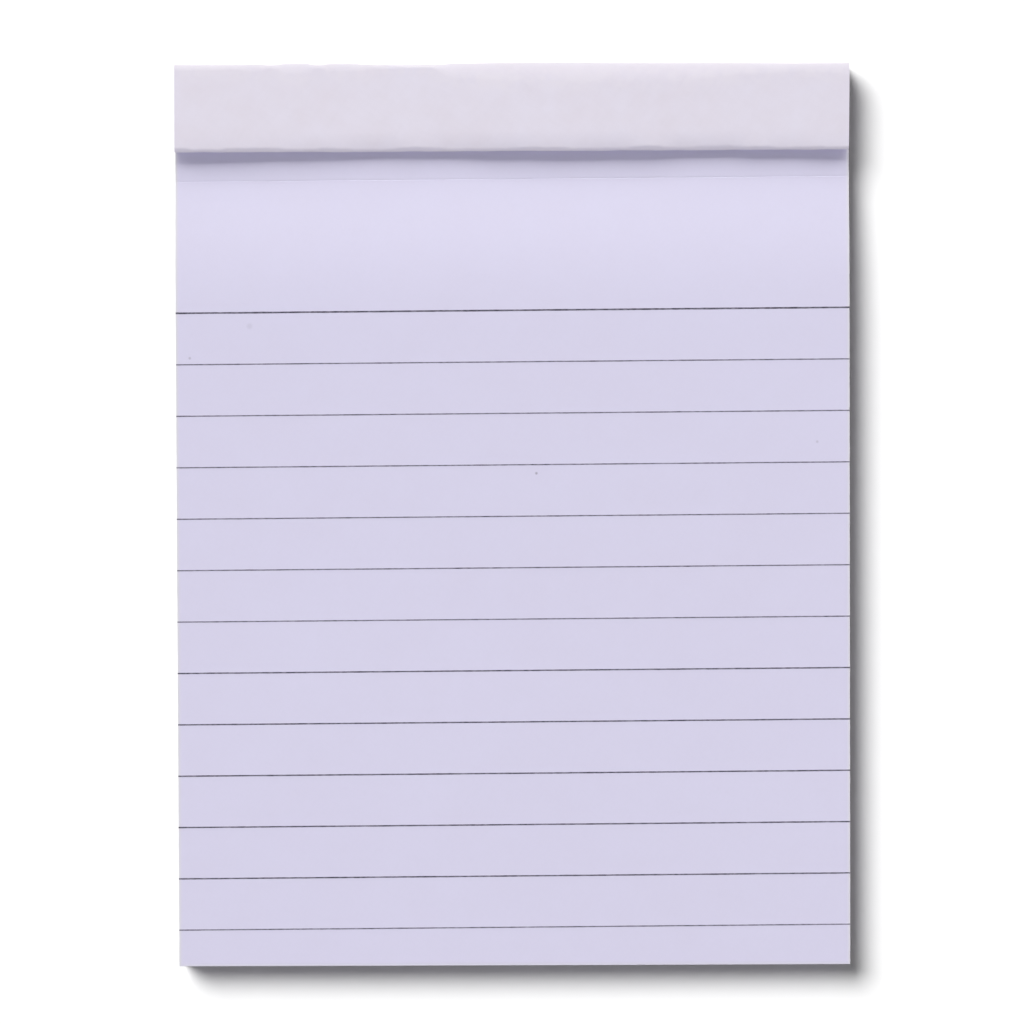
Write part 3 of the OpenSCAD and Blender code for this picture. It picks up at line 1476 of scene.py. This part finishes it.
    def fold_rows(self, line: Section) -> FoldRows:
        """Work out how the strip's line follows the fold.

        Args:
            line: The strip's outer line.

        Returns:
            The shares, point by point.
        """
        s = self.sizes
        tuck, crown = line.on(Run.TUCK), line.on(Run.CROWN)
        upper = crown | line.on(Run.FACE)
        nose = s.strip_top - self.crown_drop
        ahead = np.clip(1 - (line.y - s.fold) / self.face_run, 0, 1)
        tucked = np.where(tuck, (line.z - s.nip_top) / (nose - s.nip_top), 0.0)
        glued = np.where(line.on(Run.INNER), (s.head - line.y) / (s.head - s.fold), 0.0)
        reach = np.where(upper, line.y - s.fold, 0.0)
        fallen = np.where(crown, s.strip_top - line.z, self.crown_drop * tucked)
        return FoldRows(
            reach=reach,
            drawn=np.where(tuck, 1.0, np.where(upper, ahead, glued)),
            raised=np.where(upper, ahead, tucked),
            hung=np.where(upper, 1.0, tucked),
            nosed=(1 - self.nose_share) * fallen,
            swollen=np.where(upper, ahead, 0.0),
            rubbed=np.where(tuck | upper, bell(reach, self.rub_width), 0.0),
        )

    def head_rows(self, line: Section) -> HeadRows:
        """Work out how the strip's line follows the roll over the head.

        Args:
            line: The strip's outer line.

        Returns:
            The shares, point by point.
        """
        s = self.sizes
        face, roll = line.on(Run.FACE), line.on(Run.ROLL)
        roll_z = s.strip_top - self.roll_drop
        free = np.clip((line.z - s.nip_top) / (roll_z - s.nip_top), 0, 1)
        wall = np.where(line.on(Run.HEAD), free, 0.0)
        rolled = np.clip((line.y - s.outer) / self.roll_run + 1, 0, 1)
        bumped = np.clip((line.y - s.outer) / self.bump_run + 1, 0, 1)
        along = (line.y - s.fold - self.crown_run) / (self.face_run - self.crown_run)
        return HeadRows(
            held=np.where(roll, 1.0, wall),
            waved=np.where(roll, rolled**2, wall),
            sunk=np.where(roll, s.strip_top - line.z, self.roll_drop * wall),
            taken=np.where(face, self.roll_run * along, np.where(roll, s.outer - line.y, 0.0)),
            bulge=np.where(face | roll, np.sin(np.pi * bumped), 0.0),
        )

    def sag(self, x: Array) -> Array:
        """How far the crown sags at the fold, less where a crimp stiffens it."""
        stiff = sum(crimp.stiff * crimp.shares(x) for crimp in self.crimps)
        return eased(x / self.sizes.half_width, self.sags) * (1 - stiff)

    def crown_drop_at(self, reach: Array, x: Array) -> Array:
        """How far the paper drops from the level face to the fold's edge, besides its tight nose.

        At r from the edge it sags by a share of the sag that grows as the square of 1 - r / run. A crease
        lies at c from the edge, a wandering margin plus the bows of the crimps. Its drop is
        k w ln(1 + exp((c - r) / w)), so the paper steepens by k over a width of w. The less the crown
        sags, the more the crease steepens the paper. A shallow groove of bell-shaped section runs along it.

        Args:
            reach: Distance of each row from the fold's edge.
            x: Places across the pad.

        Returns:
            The drops, as rows x columns.
        """
        sag = self.sag(x)
        wander = 1 + self.crease_wander * ripple(x, self.crease_lengths, seed=25)
        bows = sum(crimp.bow * crimp.shares(x) for crimp in self.crimps)
        past = self.crease_margin * wander + bows - reach[:, None]
        slope = self.crease_slope * (1 - self.crease_ease * sag / self.crown_drop)
        steeper = slope * self.crease_width * np.logaddexp(0, past / self.crease_width)
        sagging = sag * np.clip(1 - reach[:, None] / self.sag_run, 0, None) ** 2
        return sagging + steeper + self.crease_groove * bell(past, self.crease_width)

    def fold_moves(self, rows: FoldRows, x: Array) -> tuple[Array, Array]:
        """How far the paper is moved by the fold, which isn't quite straight.

        The fold is a little higher at the left, and its edge wavers and runs slightly askew. The level face
        and the glued end take that up in proportion. The crown's bend is drawn into a tight nose, and the
        crown drops to it, sagging and creased.

        Args:
            rows: How the strip's line follows the fold.
            x: Places across the pad.

        Returns:
            The moves along the pad and upwards, each as rows x columns.
        """
        wave = self.fold_waver * ripple(x, self.lift_lengths, seed=21)
        lift = self.fold_rise - self.fold_lean * x / self.sizes.half_width + wave
        edge = self.fold_skew * x - self.fold_out + self.fold_waver * ripple(x, self.edge_lengths, seed=22)
        drop = rows.hung[:, None] * self.crown_drop_at(rows.reach, x)
        return rows.drawn[:, None] * edge, rows.raised[:, None] * lift + rows.nosed[:, None] - drop

    def head_moves(self, rows: HeadRows, x: Array) -> tuple[Array, Array]:
        """How far the paper is moved by the roll over the head, which isn't even.

        The roll is wider and deeper in some places than in others, and the level face takes up its width.
        Its outer edge waves in and out above the gum and is dented in a few spots.

        Args:
            rows: How the strip's line follows the roll.
            x: Places across the pad.

        Returns:
            The moves along the pad and upwards, each as rows x columns.
        """
        across = x / self.sizes.half_width
        pinch = sum(dent.pinch * dent.shares(x) for dent in self.dents)
        depth = sum(dent.depth * dent.shares(x) for dent in self.dents)
        wider = eased(across, self.roll_runs) * (1 - pinch) / self.roll_run - 1
        waves = eased(across, self.head_waves) - depth
        shallower = 1 - eased(across, self.roll_shares)
        return rows.waved[:, None] * waves - rows.taken[:, None] * wider, rows.sunk[:, None] * shallower

    def sheet(self) -> Shell:
        """The strip: its section carried across the pad and then bent out of true as paper is.

        The fold and the roll over the head move the paper along the pad and upwards. The roll's bumps and
        a gentle swell of the face push it outwards. The whole face lies higher in some places than in
        others, down to the gum behind it and to the glued end below it, and the fold ends a little short at
        the right.

        Returns:
            A closed sheet that carries its wear at each point.
        """
        s = self.sizes
        line, lining = self.section(0.0), self.section(s.strip_thick)
        x = np.linspace(-s.half_width, s.half_width, self.columns)
        fold, head = self.fold_rows(line), self.head_rows(line)
        fold_y, fold_z = self.fold_moves(fold, x)
        head_y, head_z = self.head_moves(head, x)
        bumps = self.roll_waver * ripple(x, self.bump_lengths, seed=23)
        gentle = self.face_swell * swell(x[None, :], line.y[:, None], self.swell_lengths, seed=24)
        push = head.bulge[:, None] * bumps + fold.swollen[:, None] * gentle
        higher = (fold.hung + head.held)[:, None] * eased(x / s.half_width, self.face_heights)
        grid_x = x - self.end_trim * fold.drawn[:, None] * (x / s.half_width + 1) / 2
        moved_y = fold_y + head_y + push * line.out_y[:, None]
        moved_z = fold_z + head_z + push * line.out_z[:, None] + higher
        faces = [np.stack([grid_x, part.y[:, None] + moved_y, part.z[:, None] + moved_z], axis=-1)
                 for part in (line, lining)]
        wear = np.clip(head.bulge + fold.rubbed, 0, 1)
        return Shell(*closed_sheet(*faces), {"wear": np.tile(np.repeat(wear, len(x)), 2)})

    def build(self) -> list[bpy.types.Object]:
        """Make and dress the strip.

        Returns:
            The strip as one piece.
        """
        made = self.sheet().piece("folded_strip", self.paper.material())
        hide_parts("binding_strip")
        return [made]


class LampSide(Enum):
    """Which end of the pad a soft lamp stands beyond."""

    HEAD = 1.0
    FOOT = -1.0


class LampTarget(Enum):
    """What a soft lamp lights: the whole pad, or only the pieces named here."""

    PAD = ()
    STRIP = ("folded_strip",)
    PAGE = ("top_leaf", "printed_ruling")

    def chosen(self, pieces: Sequence[bpy.types.Object]) -> list[bpy.types.Object]:
        """The pieces that the lamp lights."""
        return [piece for piece in pieces if not self.value or piece.name in self.value]


@dataclass(frozen=True)
class SoftLamp:
    """A rectangular lamp beyond one end of the pad, turned to face it."""

    name: str
    side: LampSide
    target: LampTarget
    elevation: float
    distance: float
    width: float
    height: float
    power: float
    colour: Colour = (1.0, 1.0, 1.0)

    def build(self, lit: bpy.types.Collection) -> None:
        """Make the lamp.

        Args:
            lit: The objects that the lamp lights.
        """
        light = bpy.data.lights.new(self.name, "AREA")
        light.shape = "RECTANGLE"
        light.size, light.size_y = self.width, self.height
        light.energy = self.power
        light.color = self.colour
        lamp = bpy.data.objects.new(self.name, light)
        angle = math.radians(self.elevation)
        away = Vector((0.0, self.side.value * math.cos(angle), math.sin(angle)))
        turn = (-away).to_track_quat("-Z", "Y").to_matrix().to_4x4()
        lamp.matrix_world = Matrix.Translation(away * self.distance) @ turn
        lamp.visible_camera = False
        bpy.context.scene.collection.objects.link(lamp)
        lamp.light_linking.receiver_collection = lit


@dataclass
class Studio:
    """The camera, the lamps, the sky and the pale floor."""

    lens: float = 135.0
    clip: tuple[float, float] = (0.05, 50.0)
    camera_at: tuple[float, float, float] = (-0.211 * MM, 11.282 * MM, 657.965 * MM)
    camera_pitch: float = -0.9444
    camera_roll: float = -0.1978
    lamps: tuple[SoftLamp, ...] = (
        SoftLamp("page_key", LampSide.HEAD, LampTarget.PAGE, 26.5, 6.0, 17.0, 2.99, 931.0),
        SoftLamp("strip_key", LampSide.HEAD, LampTarget.STRIP, 45.0, 6.0, 17.0, 2.55, 582.0),
        SoftLamp("fill", LampSide.FOOT, LampTarget.PAD, 65.0, 4.0, 4.0, 2.0, 65.5, (0.8, 0.8, 1.0)),
    )
    ambient: float = 0.18
    floor_sun: float = 4.36
    floor_sun_size: float = 34.5
    floor_sun_way: tuple[float, float, float] = (3.55, -4.1, -6.2)
    floor_finish: PaleFloor = PaleFloor()
    floor_half: float = 2.0
    floor_drop: float = 0.03 * MM
    floor_points: int = 9

    def camera(self) -> None:
        """Make the camera, straight above the page and turned a little, as the photograph was taken."""
        data = bpy.data.cameras.new("camera")
        data.lens = self.lens
        data.clip_start, data.clip_end = self.clip
        made = bpy.data.objects.new("camera", data)
        turn = Matrix.Rotation(math.radians(self.camera_pitch), 4, "X")
        roll = Matrix.Rotation(math.radians(self.camera_roll), 4, "Z")
        made.matrix_world = Matrix.Translation(self.camera_at) @ turn @ roll
        bpy.context.scene.collection.objects.link(made)
        bpy.context.scene.camera = made

    def floor(self) -> bpy.types.Object:
        """Make the floor, a level square just under the pad.

        Returns:
            The floor, which isn't part of the pad.
        """
        side = np.linspace(-self.floor_half, self.floor_half, self.floor_points)
        x, y = np.meshgrid(side, side)
        points = np.stack([x, y, np.full_like(x, -self.floor_drop)], axis=-1).reshape(-1, 3)
        mesh = bpy.data.meshes.new("pale_floor")
        mesh.from_pydata(points.tolist(), [], grid_quads(*x.shape).tolist())
        mesh.materials.append(self.floor_finish.material())
        made = bpy.data.objects.new("pale_floor", mesh)
        bpy.context.scene.collection.objects.link(made)
        return made

    def sky(self) -> None:
        """Make the world: a soft even light on surfaces, and plain white to the eye and in reflections."""
        world = bpy.data.worlds.new("studio")
        bpy.context.scene.world = world
        world.use_nodes = True
        world.node_tree.nodes.clear()
        bench = NodeBench(world.node_tree)
        path = bench.add("ShaderNodeLightPath")
        seen = bench.math("MAXIMUM", path.outputs["Is Camera Ray"], path.outputs["Is Glossy Ray"])
        seen = bench.math("MAXIMUM", seen, path.outputs["Is Transmission Ray"])
        white = (1.0, 1.0, 1.0, 1.0)
        soft = bench.add("ShaderNodeBackground", {"Color": white, "Strength": self.ambient})
        plain = bench.add("ShaderNodeBackground", {"Color": white, "Strength": 1.0})
        mix = bench.add("ShaderNodeMixShader")
        for socket, value in zip(mix.inputs, (seen, soft.outputs[0], plain.outputs[0])):
            bench.fill(socket, value)
        bench.add("ShaderNodeOutputWorld", {"Surface": mix.outputs[0]})

    def sun(self, floor: bpy.types.Object) -> None:
        """Make the broad sun that lights the floor and lays the pad's shadow on it.

        Args:
            floor: The only thing that it lights.
        """
        light = bpy.data.lights.new("floor_sun", "SUN")
        light.energy = self.floor_sun
        light.angle = math.radians(self.floor_sun_size)
        made = bpy.data.objects.new("floor_sun", light)
        way = Vector(self.floor_sun_way).normalized()
        made.matrix_world = way.to_track_quat("-Z", "Y").to_matrix().to_4x4()
        bpy.context.scene.collection.objects.link(made)
        made.light_linking.receiver_collection = self.lit("floor_lit", [floor])

    def lit(self, name: str, members: Sequence[bpy.types.Object]) -> bpy.types.Collection:
        """Gather what one or more lamps light.

        Args:
            name: Name of the collection.
            members: What is lit.

        Returns:
            The collection.
        """
        made = bpy.data.collections.new(name)
        for member in members:
            made.objects.link(member)
        return made

    def build(self, pieces: Sequence[bpy.types.Object]) -> None:
        """Set up the whole studio.

        Args:
            pieces: The pad's pieces, which the soft lamps light.
        """
        bpy.context.scene.view_settings.view_transform = "Standard"
        self.camera()
        self.sky()
        self.sun(self.floor())
        for lamp in self.lamps:
            lamp.build(self.lit(f"{lamp.name}_lit", lamp.target.chosen(pieces)))


def main() -> None:
    """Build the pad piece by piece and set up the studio."""
    logging.basicConfig(level=logging.INFO, format="%(name)s: %(message)s")
    sizes = PadSizes.from_frame()
    shape = PageShape(sizes)
    parts = [BackingBoard(sizes), PageBlock(shape), Ruling(shape), HeadGum(), BindingStrip(sizes)]
    pieces = [piece for part in parts for piece in part.build()]
    for piece in pieces:
        LOG.info("%s has %d faces", piece.name, len(piece.data.polygons))
    Studio().build(pieces)


if __name__ == "__main__":
    main()
